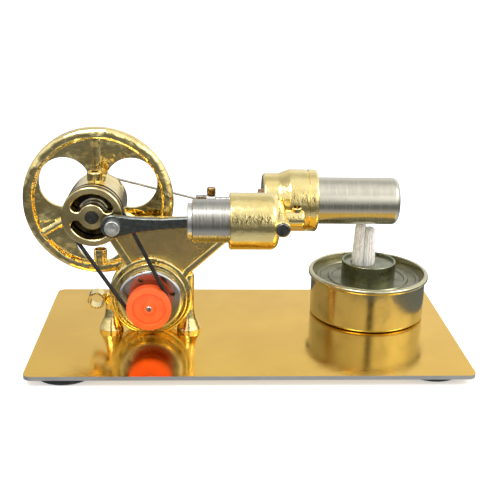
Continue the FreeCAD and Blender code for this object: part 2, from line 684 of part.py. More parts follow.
def make_flywheel():
    """Rim, thin web with three round windows, ribbed spokes, hub and set-screw access boss."""
    rear = size("wheel_rear")
    wide = rear - size("wheel_front")
    outer = size("wheel_radius")
    inner = size("rim_inner")
    web_low = rear - size("web_rear")
    web_high = rear - size("web_front")
    hub = size("hub_radius")
    shaft = size("shaft_radius")
    hub_low = -(size("hub_rear") - rear)
    body = turned("flywheel", (shaft_x, rear, shaft_z), "front",
                  [(shaft, hub_low), (hub, hub_low), (hub, web_low), (inner, web_low), (inner, 0),
                   (outer, 0), (outer, wide), (inner, wide), (inner, web_high), (hub, web_high),
                   (hub, wide), (shaft, wide)],
                  rounds=[(1.9, [(outer, wide), (outer, 0)]), (1.2, [(inner, wide)]),
                          (0.5, [(inner, 0), (inner, web_high), (inner, web_low)])])
    half = size("spoke_radius")
    flare = size("flare_half_width")
    start = size("flare_start")
    sketch = new_sketch(body, "flare_outline", offset=web_low)
    draw_outline(sketch, [(-half, start), (half, start), (half + 0.7, (start + inner) / 2),
                          (flare, inner + 0.6), (-flare, inner + 0.6),
                          (-half - 0.7, (start + inner) / 2)])
    flares = extrude(body, "Pad", "flare", sketch, web_high - web_low + 0.9)
    pattern(body, "flares", flares)
    sketch = new_sketch(body, "window_outline", offset=wide)
    across, upward = polar(size("window_circle"), 30)
    draw_circle(sketch, across, upward, size("window_radius"))
    window = extrude(body, "Pocket", "window", sketch, wide)
    pattern(body, "windows", window)
    boss(body, "hub_plate", 0, 0, hub, hub_low, wide - hub_low)
    bore(body, "shaft_hole", 0, 0, shaft, wide, wide - hub_low)
    return drill_flywheel(body)


def pattern(body, name, feature):
    polar_pattern = body.newObject("PartDesign::PolarPattern", f"{body.Name}_{name}")
    polar_pattern.Originals = [feature]
    polar_pattern.Axis = (plane_of(body, "Z_Axis"), [""])
    polar_pattern.Angle = 360.0
    polar_pattern.Occurrences = 3
    body.Tip = polar_pattern
    doc.recompute()
    return polar_pattern


def drill_flywheel(wheel):
    """The access boss inside the rim and the set screw's hole, both straight below the shaft."""
    wheel.Label = "flywheel_casting"
    middle_y = (size("wheel_front") + size("wheel_rear")) / 2
    outer = size("wheel_radius")
    inner = size("rim_inner")
    boss_length = inner + 1 - size("access_boss_top")
    low = (shaft_x, middle_y, shaft_z - inner - 1)
    tunnel = primitive("Cylinder", "access_boss", low, Radius=size("access_boss"),
                       Height=boss_length)
    spokes = []
    for index in range(3):
        turn = 120 * index
        spoke = primitive("Cylinder", f"spoke_{index}", (shaft_x, middle_y, shaft_z),
                          Radius=size("spoke_radius"), Height=inner + 1)
        spoke.Placement = FreeCAD.Placement(spoke.Placement.Base,
                                            FreeCAD.Rotation(FreeCAD.Vector(0, 1, 0), turn))
        spokes.append(spoke)
    whole = fused("flywheel_solid", [wheel, tunnel, *spokes])
    drill = primitive("Cylinder", "access_drill", (shaft_x, middle_y, shaft_z - outer - 1),
                      Radius=size("access_hole"), Height=outer + 1 - size("hub_radius") - 1)
    thread = primitive("Cylinder", "set_screw_thread", (shaft_x, middle_y, shaft_z - outer - 1),
                       Radius=size("set_screw_radius"), Height=outer + 1 - 1)
    shaft_hole = primitive("Cylinder", "wheel_shaft_hole", (shaft_x, size("hub_rear") + 1, shaft_z),
                           "front", Radius=size("shaft_radius"),
                           Height=size("hub_rear") - size("wheel_front") + 2)
    return boolean("Cut", "flywheel", whole,
                   fused("flywheel_drills", [drill, thread, shaft_hole]))


def make_flywheel_set_screw():
    middle_y = (size("wheel_front") + size("wheel_rear")) / 2
    length = size("set_screw_length")
    low = shaft_z - size("shaft_radius") - length
    body = rod("flywheel_set_screw", (shaft_x, middle_y, low), "up", size("set_screw_radius"), length)
    sketch = new_sketch(body, "hexagon")
    draw_hexagon(sketch, 0.85)
    key = extrude(body, "Pocket", "key_socket", sketch, 1.8)
    key.Reversed = True
    return body


def draw_hexagon(sketch, radius):
    draw_outline(sketch, [polar(Size(number(radius), words(radius)), 60 * i + 10) for i in range(6)])


# ---------------------------------------------------------------- power piston and its rod
def make_power_cylinder():
    length = size("liner_left") + size("liner_right")
    outer = size("liner_radius")
    inner = size("piston_radius") + size("piston_gap")
    return tube("power_cylinder", (plate_x - size("liner_left"), -size("power_axis"), shaft_z),
                "right", inner, outer, length,
                chamfers=[(0.35, [(outer, 0), (inner, 0)])])


def make_power_piston():
    """Cup open to the left, cross-drilled for the wrist pin."""
    length = size("piston_length")
    outer = size("piston_radius")
    inner = size("piston_bore")
    cup = turned("piston_cup", (plate_x - size("piston_left"), -size("power_axis"), shaft_z),
                 "right", [(inner, 0), (outer, 0), (outer, length), (0, length),
                           (0, length - size("piston_head")), (inner, length - size("piston_head"))],
                 chamfers=[(0.3, [(outer, 0), (inner, 0)])])
    hole = primitive("Cylinder", "wrist_hole", (wrist_x, 10 - size("power_axis"), shaft_z), "front",
                     Radius=size("wrist_pin_radius"), Height=20.0)
    return boolean("Cut", "power_piston", cup, hole)


def make_wrist_pin():
    half = size("piston_bore") + 0.6
    return rod("wrist_pin", (wrist_x, half - size("power_axis"), shaft_z), "front",
               size("wrist_pin_radius"), half * 2)


def rod_tilt():
    return math.degrees(math.asin(number(pin_up) / number(size("rod_length"))))


def make_conrod():
    """Flat bar from the crank pin to the wrist pin; own origin at the wrist pin, own -X to the crank."""
    body = new_body("conrod", (wrist_x, size("rod_thickness") / 2 - size("power_axis"), shaft_z),
                    "front")
    tilt = FreeCAD.Rotation(FreeCAD.Vector(0, 1, 0), rod_tilt())
    body.Placement = FreeCAD.Placement(body.Placement.Base, tilt * FACING["front"])
    length = size("rod_length")
    big = size("rod_big_end")
    small = size("rod_small_end")
    thick = size("rod_thickness")
    flank = [(-length, big - 0.1), (5.7 - length, size("rod_shoulder")),
             (10.4 - length, size("rod_neck")), (17.5 - length, size("rod_waist")), (0, small)]
    boss(body, "big_end", -length, 0, big, 0, thick)
    boss(body, "small_end", 0, 0, small, 0, thick)

    def bar(sketch):
        draw_outline(sketch, flank + [(across, -upward) for across, upward in reversed(flank)])

    pad(body, "bar", bar, 0, thick)
    doc.recompute()
    bore(body, "bush_hole", -length, 0, size("crank_bush_radius"), thick, thick)
    bore(body, "wrist_hole", 0, 0, size("wrist_pin_radius") + size("pin_gap"), thick, thick)
    doc.recompute()
    outline = [f"Edge{i}" for i, edge in enumerate(body.Tip.Shape.Edges, start=1)
               if edge.BoundBox.ZLength < TOLERANCE
               and abs(edge.BoundBox.ZMax - number(thick)) < TOLERANCE
               and abs(edge.Vertexes[0].Y) > number(small) - 0.2]
    dress(body, "Chamfer", "edge_bevel", outline, 0.3)
    return body


def make_conrod_bush():
    """Plain bush in the rod's big end, clear of the crank disc's face."""
    rear = -(size("disc_front") + size("open_pivot_gap"))
    front = size("power_axis") + size("rod_thickness") / 2
    return tube("conrod_bush", (shaft_x + pin_across, rear, shaft_z + pin_up), "front",
                size("crank_screw_radius"), size("crank_bush_radius"), front + rear)


def make_crank_pin_screw():
    """Cap-head screw that is the crank pin; its thread stops clear of the disc's face."""
    rear = -(size("disc_front") + size("open_pivot_gap"))
    front = size("power_axis") + size("rod_thickness") / 2
    shank = front + rear
    head = size("crank_screw_head")
    top = shank + size("crank_screw_tall")
    body = turned("crank_pin_screw", (shaft_x + pin_across, rear, shaft_z + pin_up), "front",
                  [(0, 0), (size("crank_screw_radius"), 0), (size("crank_screw_radius"), shank),
                   (head, shank), (head, top), (0, top)],
                  rounds=[(0.3, [(head, top)])])
    sketch = new_sketch(body, "hexagon", offset=top)
    draw_hexagon(sketch, size("crank_screw_socket"))
    extrude(body, "Pocket", "key_socket", sketch, 1.6)
    return body


# ---------------------------------------------------------------- displacer group
def make_hot_cap():
    length = size("cap_right") - size("cap_left")
    outer = size("cap_radius")
    wall = size("cap_wall")
    return turned("hot_cap", (plate_x + size("cap_left"), size("displacer_axis"), displacer_z),
                  "right", [(outer - wall, 0), (outer, 0), (outer, length), (0, length),
                            (0, length - wall), (outer - wall, length - wall)],
                  rounds=[(size("cap_round"), [(outer, length)]),
                          (size("cap_round") - wall, [(outer - wall, length - wall)])])


def make_cap_ring():
    """Retaining ring that closes the holder's mouth around the hot cap."""
    length = size("ring_right") - size("holder_right")
    outer = size("holder_radius")
    step = size("ring_step")
    return turned("cap_retaining_ring", (plate_x + size("holder_right"), size("displacer_axis"),
                                         displacer_z), "right",
                  [(size("cap_radius"), 0), (outer - step, 0), (outer - step, 0.7), (outer, 0.9),
                   (outer, length), (size("cap_radius"), length)],
                  rounds=[(1.2, [(outer, length)])])


def make_cap_seal():
    """Flat gasket on the cap's open end, at the bottom of its seat."""
    return tube("cap_seal", (plate_x + size("chamber_left"), size("displacer_axis"), displacer_z),
                "right", size("cap_radius") - size("cap_wall") - 1.0,
                size("cap_radius") - size("cap_wall"), 0.8)


def make_displacer():
    """Light hollow can with closed ends, fixed on the drive rod."""
    length = size("displacer_length")
    outer = size("displacer_radius")
    wall = size("displacer_wall")
    stem = size("drive_rod_radius")
    return turned("displacer", (plate_x + size("displacer_left"), size("displacer_axis"),
                                displacer_z), "right",
                  [(stem, 0), (outer, 0), (outer, length), (0, length), (0, length - wall),
                   (outer - wall, length - wall), (outer - wall, wall), (stem + 1.2, wall),
                   (stem + 1.2, 4.0), (stem, 4.0)],
                  rounds=[(0.8, [(outer, 0), (outer, length)])])


def make_displacer_rod():
    left = plate_x - size("fork_right") + 0.6
    length = size("fork_right") + size("displacer_left") - 0.6 + 4.0
    return rod("displacer_rod", (left, size("displacer_axis"), displacer_z), "right",
               size("drive_rod_radius"), length)


def make_rod_guide():
    """Flanged bush in the holder's left wall that guides the drive rod."""
    inner = size("drive_rod_radius") + size("pin_gap")
    outer = size("guide_radius")
    nose = size("holder_left") - size("guide_left")
    whole = size("chamber_left") - size("guide_left")
    return turned("rod_guide_bush", (plate_x + size("guide_left"), size("displacer_axis"),
                                     displacer_z), "right",
                  [(inner, 0), (outer + 1, 0), (outer + 1, nose), (outer, nose), (outer, whole),
                   (inner, whole)],
                  rounds=[(0.4, [(outer + 1, 0)])])


def make_clevis():
    """Fork at the left, clamped on the drive rod by its barrel."""
    axis_y = size("displacer_axis")
    barrel_left = plate_x - size("fork_right")
    barrel = rod("clevis_barrel", (barrel_left, axis_y, displacer_z), "right", size("barrel_radius"),
                 size("fork_right") - size("barrel_right"),
                 chamfers=[(0.3, [(size("barrel_radius"), size("fork_right") - size("barrel_right"))])])
    fork = primitive("Box", "clevis_fork", (plate_x - size("fork_left"),
                                            axis_y - size("fork_half_width"),
                                            displacer_z - size("fork_half_height")),
                     Length=size("fork_left") - size("fork_right") + 0.2,
                     Width=size("fork_half_width") * 2, Height=size("fork_half_height") * 2)
    whole = fused("clevis_solid", [barrel, fork])
    tools = [
        primitive("Box", "fork_gap", (plate_x - size("fork_left") - 1,
                                      axis_y - size("fork_slot") / 2, displacer_z - 4),
                  Length=size("fork_left") - size("fork_right") + 0.6, Width=size("fork_slot"),
                  Height=8.0),
        primitive("Cylinder", "fork_pin_hole", (fork_pin_x, axis_y + 4, displacer_z), "front",
                  Radius=size("clevis_pin_radius"), Height=8.0),
        primitive("Cylinder", "clevis_rod_hole", (barrel_left + 0.6, axis_y, displacer_z), "right",
                  Radius=size("drive_rod_radius"), Height=8.0),
        primitive("Cylinder", "clamp_hole", (plate_x - size("clamp_screw_at"), axis_y, displacer_z),
                  Radius=0.8, Height=5.0),
    ]
    return boolean("Cut", "clevis", whole, fused("clevis_cuts", tools))


def make_clevis_pin():
    half = size("fork_half_width")
    return rod("clevis_pin", (fork_pin_x, size("displacer_axis") + half, displacer_z), "front",
               size("clevis_pin_radius"), half * 2)


def make_clevis_screw():
    """Slotted clamp screw on top of the clevis barrel; its tip rests on the rod."""
    head = size("clamp_screw_head")
    shank = size("barrel_radius") - size("drive_rod_radius") + 0.25
    tall = shank + size("clamp_screw_height")
    body = turned("clevis_screw", (plate_x - size("clamp_screw_at"), size("displacer_axis"),
                                   displacer_z + size("drive_rod_radius")), "up",
                  [(0, 0), (0.8, 0), (0.8, shank), (head, shank), (head, tall), (0, tall)],
                  chamfers=[(0.15, [(head, tall)])])
    cut(body, "driver_slot", lambda s: draw_rectangle(s, -2.0, -0.3, 2.0, 0.3), tall, 0.8)
    return body


def make_displacer_link():
    """Wire with an eye at each end, from the flywheel's pin to the clevis."""
    axis_y = size("displacer_axis")
    wire = size("link_radius")
    eye = size("eye_radius")
    slope = math.degrees(math.asin(number(link_drop) / number(size("link_length"))))
    eyes = [primitive("Torus", "crank_eye", (link_pin_x, axis_y, link_pin_z), "front",
                      Radius1=eye, Radius2=wire),
            primitive("Torus", "fork_eye", (fork_pin_x, axis_y, displacer_z), "front",
                      Radius1=eye, Radius2=wire)]
    start_across, start_drop = polar(eye, slope)
    bar = primitive("Cylinder", "link_wire", (link_pin_x + start_across, axis_y,
                                              link_pin_z - start_drop),
                    Radius=wire, Height=size("link_length") - eye * 2)
    aim = FreeCAD.Rotation(FreeCAD.Vector(0, 1, 0), 90 + slope)
    bar.Placement = FreeCAD.Placement(bar.Placement.Base, aim)
    return fused("displacer_link", eyes + [bar])


def make_displacer_crank_pin():
    """Shoulder pin that carries the link's eye behind the flywheel's hub."""
    start = size("hub_rear") + size("open_pivot_gap")
    head_at = size("displacer_axis") + size("link_radius") + 0.1
    body = turned("displacer_crank_pin", (link_pin_x, head_at + 1.0, link_pin_z), "front",
                  [(0, 0), (1.4, 0), (1.4, 1.0), (0.6, 1.0), (0.6, head_at + 1.0 - start),
                   (0, head_at + 1.0 - start)],
                  chamfers=[(0.2, [(1.4, 0)])])
    return body


# ---------------------------------------------------------------- generator and belt
def make_generator_can():
    """Drawn steel can, open at the back, with two vent holes in its front."""
    length = size("can_front") + size("can_rear")
    outer = size("ring_bore")
    wall = size("can_wall")
    neck = size("motor_shaft") + size("bearing_gap")
    body = turned("generator_can", (motor_x, size("can_rear"), motor_z), "front",
                  [(outer - wall, 0), (outer, 0), (outer, length), (3.2, length),
                   (3.2, length + 0.8), (neck, length + 0.8), (neck, length - wall),
                   (outer - wall, length - wall)],
                  rounds=[(1.2, [(outer, length)]), (0.25, [(3.2, length + 0.8)])])
    for name, angle in (("upper", 112), ("right", 20), ("left", 200)):
        across, upward = polar(Size(9.0, "9"), angle)
        bore(body, f"{name}_vent", across, upward, 1.0, length, 2.0)
    return body


def make_generator_end_cap():
    """Moulded cap in the can's open end, with the rear shaft bearing."""
    thick = size("end_cap_rear") - size("can_rear") + 1.6
    inset = size("ring_bore") - size("can_wall")
    outer = size("end_cap_radius")
    neck = size("motor_shaft") + size("bearing_gap")
    return turned("generator_end_cap", (motor_x, size("end_cap_rear"), motor_z), "front",
                  [(neck, 0), (outer, 0), (outer, thick - 1.6), (inset, thick - 1.6),
                   (inset, thick), (neck, thick)],
                  rounds=[(0.5, [(outer, 0)])])


def make_generator_magnets():
    """Two arc magnets glued inside the can."""
    outer = size("ring_bore") - size("can_wall")
    length = size("can_front") + size("can_rear") - size("can_wall") - 3.4
    at = (motor_x, size("can_rear") - 1.8, motor_z)
    halves = []
    for side, turn in (("right", -60), ("left", 120)):
        outside = primitive("Cylinder", f"{side}_magnet_outside", at, "front", Radius=outer,
                            Height=length, Angle=120)
        inside = primitive("Cylinder", f"{side}_magnet_inside", at, "front",
                           Radius=size("magnet_inner"), Height=length)
        arc = boolean("Cut", f"{side}_magnet", outside, inside)
        spin = FreeCAD.Rotation(FreeCAD.Vector(0, 0, 1), turn)
        outside.Placement = FreeCAD.Placement(outside.Placement.Base, FACING["front"] * spin)
        halves.append(arc)
    group = doc.addObject("Part::Compound", "generator_magnets")
    group.Label = "generator_magnets"
    group.Links = halves
    return group


def make_generator_terminals():
    tabs = []
    for index, across in enumerate((1.5, 6.5)):
        tab = primitive("Box", f"terminal_{index}", (motor_x + across, size("end_cap_rear"),
                                                     motor_z - 8.0),
                        Length=1.8, Width=3.4, Height=0.4)
        hole = primitive("Cylinder", f"terminal_hole_{index}",
                         (motor_x + across + 0.9, size("end_cap_rear") + 2.4, motor_z - 9.0),
                         Radius=0.45, Height=2.0)
        tabs.append(boolean("Cut", f"terminal_tab_{index}", tab, hole))
    group = doc.addObject("Part::Compound", "generator_terminals")
    group.Label = "generator_terminals"
    group.Links = tabs
    return group


def make_generator_rotor():
    """Wound armature and commutator as one turned envelope with three winding slots."""
    stem = size("motor_shaft")
    body = turned("generator_rotor", (motor_x, size("can_rear") - 1.9, motor_z), "front",
                  [(stem, 0), (3.0, 0), (3.0, 1.4), (size("rotor_radius"), 1.4),
                   (size("rotor_radius"), 7.4), (stem, 7.4)])
    sketch = new_sketch(body, "winding_slot", offset=7.4)
    draw_rectangle(sketch, -0.9, 6.0, 0.9, 11.0)
    slot = extrude(body, "Pocket", "winding_gap", sketch, 6.0)
    pattern(body, "winding_gaps", slot)
    return body


def make_generator_shaft():
    front = size("pulley_front") - 0.3
    rear = size("end_cap_rear") - 0.4
    return rod("generator_shaft", (motor_x, rear, motor_z), "front", size("motor_shaft"), front + rear,
               chamfers=[(0.15, [(size("motor_shaft"), front + rear)])])


def make_generator_pulley():
    """Small moulded pulley with a dished front and a short hub."""
    thick = size("pulley_front") - size("pulley_rear")
    outer = size("pulley_radius")
    middle = -belt_y - size("pulley_rear")
    half = size("belt_groove") / 2
    groove = size("belt_on_pulley") - size("belt_radius") - size("belt_gap")
    floor_half = 0.6
    dish = size("pulley_recess")
    floor = thick - size("pulley_recess_depth")
    hub = size("pulley_hub")
    stem = size("motor_shaft")
    return turned("generator_pulley", (motor_x, -size("pulley_rear"), motor_z), "front",
                  [(stem, 0), (outer - 0.6, 0), (outer, middle - half - 0.1), (groove, middle - floor_half),
                   (groove, middle + floor_half), (outer, middle + half + 0.3), (outer, thick),
                   (dish, thick), (dish, floor), (hub + 0.4, floor), (hub, thick - 0.5),
                   (stem, thick - 0.5)],
                  rounds=[(0.35, [(outer, thick), (dish, thick)])])


def make_drive_belt():
    """Round belt on the crank disc and the generator pulley, crossing neither."""
    body = new_body("drive_belt", (shaft_x, belt_y, shaft_z), "front")
    big = number(size("belt_on_disc"))
    small = number(size("belt_on_pulley"))
    across = number(motor_x - shaft_x)
    upward = number(motor_z - shaft_z)
    distance = math.hypot(across, upward)
    heading = math.atan2(upward, across)
    lead = math.acos((big - small) / distance)
    path = new_sketch(body, "path")
    left_angle = heading - lead
    right_angle = heading + lead
    spot = FreeCAD.Vector(across, upward, 0)
    axis = FreeCAD.Vector(0, 0, 1)

    def on_circle(centre, radius, angle):
        return centre + FreeCAD.Vector(radius * math.cos(angle), radius * math.sin(angle), 0)

    zero = FreeCAD.Vector(0, 0, 0)
    upper = Part.ArcOfCircle(Part.Circle(zero, axis, big), right_angle, left_angle + 2 * math.pi)
    lower = Part.ArcOfCircle(Part.Circle(spot, axis, small), left_angle, right_angle)
    first = path.addGeometry(upper, False)
    run_a = path.addGeometry(Part.LineSegment(on_circle(zero, big, left_angle),
                                              on_circle(spot, small, left_angle)), False)
    last = path.addGeometry(lower, False)
    run_b = path.addGeometry(Part.LineSegment(on_circle(spot, small, right_angle),
                                              on_circle(zero, big, right_angle)), False)
    path.addConstraint(Sketcher.Constraint("Coincident", first, 3, -1, 1))
    for one, its_end, two, other_end in ((first, 2, run_a, 1), (run_a, 2, last, 1),
                                         (last, 2, run_b, 1), (run_b, 2, first, 1)):
        path.addConstraint(Sketcher.Constraint("Tangent", one, its_end, two, other_end))
    tie(path, Sketcher.Constraint("Radius", first, big), size("belt_on_disc"))
    tie(path, Sketcher.Constraint("Radius", last, small), size("belt_on_pulley"))
    pin_point(path, last, 3, motor_x - shaft_x, motor_z - shaft_z)
    section = new_sketch(body, "section", role="YZ_Plane")
    draw_circle(section, size("belt_on_disc"), 0, size("belt_radius"))
    doc.recompute()
    pipe = body.newObject("PartDesign::AdditivePipe", "drive_belt_pipe")
    pipe.Profile = section
    pipe.Spine = (path, [])
    path.Visibility = False
    section.Visibility = False
    return body


# ---------------------------------------------------------------- spirit burner
def make_burner_can():
    """Pressed tin cup with a rolled rim."""
    wall = size("can_sheet")
    outer = size("can_radius")
    rim = size("can_rim")
    tall = size("can_height")
    body = turned("burner_can", (burner_x, size("burner_deep"), burner_z), "up",
                  [(0, 0), (outer, 0), (outer, tall - 2.0), (rim, tall - 2.0), (rim, tall),
                   (outer - wall, tall), (outer - wall, wall), (0, wall)],
                  rounds=[(1.2, [(outer, 0)]), (0.9, [(rim, tall), (rim, tall - 2.0)]),
                          (0.2, [(outer - wall, tall)])])
    return body


def make_burner_lid():
    """Sunk lid with two pressed rings around the collar's hole."""
    outer = size("can_radius") - size("can_sheet")
    hole = size("collar_radius") - size("collar_wall")
    sheet_metal = size("lid_sheet")
    bead = size("lid_bead")
    corners = [(hole, 0), (outer, 0), (outer, sheet_metal)]
    for middle in (size("lid_outer_bead"), size("lid_inner_bead")):
        corners += [(middle + 1.0, sheet_metal), (middle + 0.6, sheet_metal + bead),
                    (middle - 0.6, sheet_metal + bead), (middle - 1.0, sheet_metal)]
    corners.append((hole, sheet_metal))
    return turned("burner_lid", (burner_x, size("burner_deep"),
                                 burner_z + size("can_height") - size("lid_drop") - sheet_metal),
                  "up", corners)


def make_wick_tube():
    """Wide collar that stands on the lid, with a floor that the wick passes through off centre."""
    low = size("can_height") - size("lid_drop")
    outer = size("collar_radius")
    wall = size("collar_wall")
    tall = size("collar_rise") - low - size("burner_gap")
    floor = size("collar_floor") - low - size("burner_gap")
    body = turned("wick_tube", (burner_x, size("burner_deep"), burner_z + low), "up",
                  [(outer - wall, 0), (outer, 0), (outer, tall), (outer - wall, tall),
                   (outer - wall, floor), (0, floor), (0, floor - wall),
                   (outer - wall, floor - wall)],
                  rounds=[(0.35, [(outer, tall), (outer - wall, tall)])])
    bore(body, "wick_hole", -size("wick_offset"), 0, size("wick_radius") + 0.1, floor, wall)
    return body


def make_wick():
    tall = size("wick_rise") - size("wick_low")
    radius = size("wick_radius")
    return rod("wick", (burner_x - size("wick_offset"), size("burner_deep"),
                        plate_top + size("wick_low")), "up",
               radius, tall, rounds=[(2.0, [(radius, tall)])])


# ---------------------------------------------------------------- build, check and write
pieces = [make_base_plate(), *make_rubber_feet(), make_frame_screws(), make_engine_frame(),
          make_cylinder_block(), *make_bearings(), make_port_plug(), make_crankshaft(),
          make_crank_disc(), make_flywheel(), make_flywheel_set_screw(), make_power_cylinder(),
          make_power_piston(), make_wrist_pin(), make_conrod(), make_conrod_bush(),
          make_crank_pin_screw(), make_hot_cap(), make_cap_ring(), make_cap_seal(),
          make_displacer(), make_displacer_rod(), make_rod_guide(), make_clevis(),
          make_clevis_pin(), make_clevis_screw(), make_displacer_link(),
          make_displacer_crank_pin(), make_generator_can(), make_generator_end_cap(),
          make_generator_magnets(), make_generator_terminals(), make_generator_rotor(),
          make_generator_shaft(), make_generator_pulley(), make_drive_belt(), make_burner_can(),
          make_burner_lid(), make_wick_tube(), make_wick()]
doc.recompute()
for thing in doc.Objects:
    if "Invalid" in thing.State or "Error" in thing.State:
        raise RuntimeError(f"{thing.Label} failed: {thing.State}")
for piece in pieces:
    if piece.Shape.isNull() or not piece.Shape.isValid():
        raise RuntimeError(f"{piece.Label} has no valid shape")
os.makedirs("parts", exist_ok=True)
for piece in pieces:
    piece.Shape.exportStep(f"parts/{piece.Label}.step")
    print(f"{piece.Label}: {len(piece.Shape.Solids)} solid, {piece.Shape.Volume:.1f} mm3")
print("axes", number(shaft_x), number(shaft_z), number(motor_x), number(motor_z), number(wrist_x),
      number(fork_pin_x), number(displacer_z), number(plate_top))
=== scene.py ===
import math
import random

import bmesh
import bpy
from mathutils import Matrix, Vector


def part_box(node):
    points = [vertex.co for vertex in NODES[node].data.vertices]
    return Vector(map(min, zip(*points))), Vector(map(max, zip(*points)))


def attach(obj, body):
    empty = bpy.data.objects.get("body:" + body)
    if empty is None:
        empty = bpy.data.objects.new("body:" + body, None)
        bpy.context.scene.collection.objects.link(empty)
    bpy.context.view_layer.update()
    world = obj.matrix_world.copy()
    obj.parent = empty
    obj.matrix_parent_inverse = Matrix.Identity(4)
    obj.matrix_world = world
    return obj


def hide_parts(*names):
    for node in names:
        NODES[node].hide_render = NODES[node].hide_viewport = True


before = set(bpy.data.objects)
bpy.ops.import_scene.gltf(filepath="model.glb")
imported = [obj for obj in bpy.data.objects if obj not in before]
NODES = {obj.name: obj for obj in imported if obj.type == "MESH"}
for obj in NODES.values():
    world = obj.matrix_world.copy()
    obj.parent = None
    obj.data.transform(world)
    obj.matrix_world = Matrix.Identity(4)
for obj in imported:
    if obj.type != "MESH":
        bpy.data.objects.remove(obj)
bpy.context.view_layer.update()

# Table-top hot-air engine: gold castings on a gold plate, steel cylinders, orange pulley and a
# tin spirit burner with a cotton wick. Lengths are metres, in the same frame as the CAD part.
MM = 0.001
RECESS_FLOOR = -1.5 * MM      # the floor of the recess in the frame's web, along Y
HOUSING_FACE = -9.2 * MM      # the front of the frame's bearing housing, along Y

# ---------------------------------------------------------------- camera
CAMERA_PLACE = Vector((-13.8, -318.15, 145.45)) * MM
CAMERA_PITCH = math.radians(18.837)
CAMERA_YAW = math.radians(3.053)
CAMERA_ROLL = math.radians(-1.222)
CAMERA_LENS = 63.35
SENSOR = 36.0


def make_camera():
    """Looks down and a little to the right, with a slight roll."""
    forward = Vector((math.sin(CAMERA_YAW) * math.cos(CAMERA_PITCH),
                      math.cos(CAMERA_YAW) * math.cos(CAMERA_PITCH),
                      -math.sin(CAMERA_PITCH)))
    level = Vector((math.cos(CAMERA_YAW), -math.sin(CAMERA_YAW), 0))
    down = forward.cross(level)
    cosine, sine = math.cos(CAMERA_ROLL), math.sin(CAMERA_ROLL)
    right = level * cosine + down * sine
    up = -(down * cosine - level * sine)
    data = bpy.data.cameras.new("camera")
    data.lens = CAMERA_LENS
    data.sensor_width = SENSOR
    data.clip_start = 0.01
    camera = bpy.data.objects.new("camera", data)
    bpy.context.scene.collection.objects.link(camera)
    turn = Matrix((right, up, -forward)).transposed().to_4x4()
    camera.matrix_world = Matrix.Translation(CAMERA_PLACE) @ turn
    bpy.context.scene.camera = camera


def link_mesh(name, mesh):
    piece = bpy.data.objects.new(name, mesh)
    bpy.context.scene.collection.objects.link(piece)
    return piece


# ---------------------------------------------------------------- shader toolkit
class Graph:
    """A shader node tree with short ways to add nodes and links."""

    def __init__(self, tree):
        self.tree = tree

    def node(self, kind, **settings):
        made = self.tree.nodes.new(f"ShaderNode{kind}")
        for key, setting in settings.items():
            setattr(made, key, setting)
        return made

    def join(self, source, socket):
        self.tree.links.new(source, socket)

    def feed(self, socket, value):
        """Link an output, or set a plain number or color."""
        if isinstance(value, bpy.types.NodeSocket):
            self.join(value, socket)
        elif isinstance(value, tuple):
            socket.default_value = (*value, 1)
        else:
            socket.default_value = value

    def spread(self, value, low, high, to_low=0.0, to_high=1.0, smooth=True):
        """Map low..high of the value to to_low..to_high."""
        made = self.node("MapRange", interpolation_type="SMOOTHSTEP" if smooth else "LINEAR")
        self.join(value, made.inputs["Value"])
        for label, level in (("From Min", low), ("From Max", high), ("To Min", to_low),
                             ("To Max", to_high)):
            made.inputs[label].default_value = level
        return made.outputs["Result"]

    def maths(self, operation, first, second=0.0):
        made = self.node("Math", operation=operation)
        self.feed(made.inputs[0], first)
        self.feed(made.inputs[1], second)
        return made.outputs["Value"]

    def blend(self, factor, first, second):
        made = self.node("Mix", data_type="RGBA")
        self.feed(made.inputs["Factor"], factor)
        self.feed(made.inputs["A"], first)
        self.feed(made.inputs["B"], second)
        return made.outputs["Result"]

    def axis(self, letter, source):
        parts = self.node("SeparateXYZ")
        self.join(source, parts.inputs[0])
        return parts.outputs[letter]


class Paint(Graph):
    """One procedural material whose textures read the row frame's own coordinates."""

    def __init__(self, name):
        self.material = bpy.data.materials.new(name)
        self.material.use_nodes = True
        super().__init__(self.material.node_tree)
        self.shader = self.tree.nodes["Principled BSDF"]
        self.where = self.node("TexCoord").outputs["Object"]

    def mapped(self, scale):
        """The row frame's coordinates, scaled along each axis."""
        mapping = self.node("Mapping")
        mapping.inputs["Scale"].default_value = scale
        self.join(self.where, mapping.inputs["Vector"])
        return mapping.outputs["Vector"]

    def noise(self, scale, detail=2.0, vector=None, distortion=0.0, roughness=0.5):
        made = self.node("TexNoise")
        self.join(vector or self.where, made.inputs["Vector"])
        for label, level in (("Scale", scale), ("Detail", detail), ("Roughness", roughness),
                             ("Distortion", distortion)):
            made.inputs[label].default_value = level
        return made.outputs["Fac"]

    def cells(self, scale):
        made = self.node("TexVoronoi")
        self.join(self.where, made.inputs["Vector"])
        made.inputs["Scale"].default_value = scale
        return made.outputs["Distance"]

    def place(self, letter):
        return self.axis(letter, self.where)

    def normal(self, letter):
        return self.axis(letter, self.node("NewGeometry").outputs["Normal"])

    def bump(self, height, distance, strength):
        made = self.node("Bump")
        made.inputs["Distance"].default_value = distance
        made.inputs["Strength"].default_value = strength
        self.join(height, made.inputs["Height"])
        self.join(made.outputs["Normal"], self.shader.inputs["Normal"])

    def finish(self, color, roughness, metallic=0.0, **sockets):
        """Feed the shader; other sockets are named with _ for a space."""
        self.feed(self.shader.inputs["Base Color"], color)
        self.feed(self.shader.inputs["Roughness"], roughness)
        self.feed(self.shader.inputs["Metallic"], metallic)
        for label, value in sockets.items():
            self.feed(self.shader.inputs[label.replace("_", " ")], value)
        return self.material


def shade(color, share):
    return tuple(part * share for part in color)


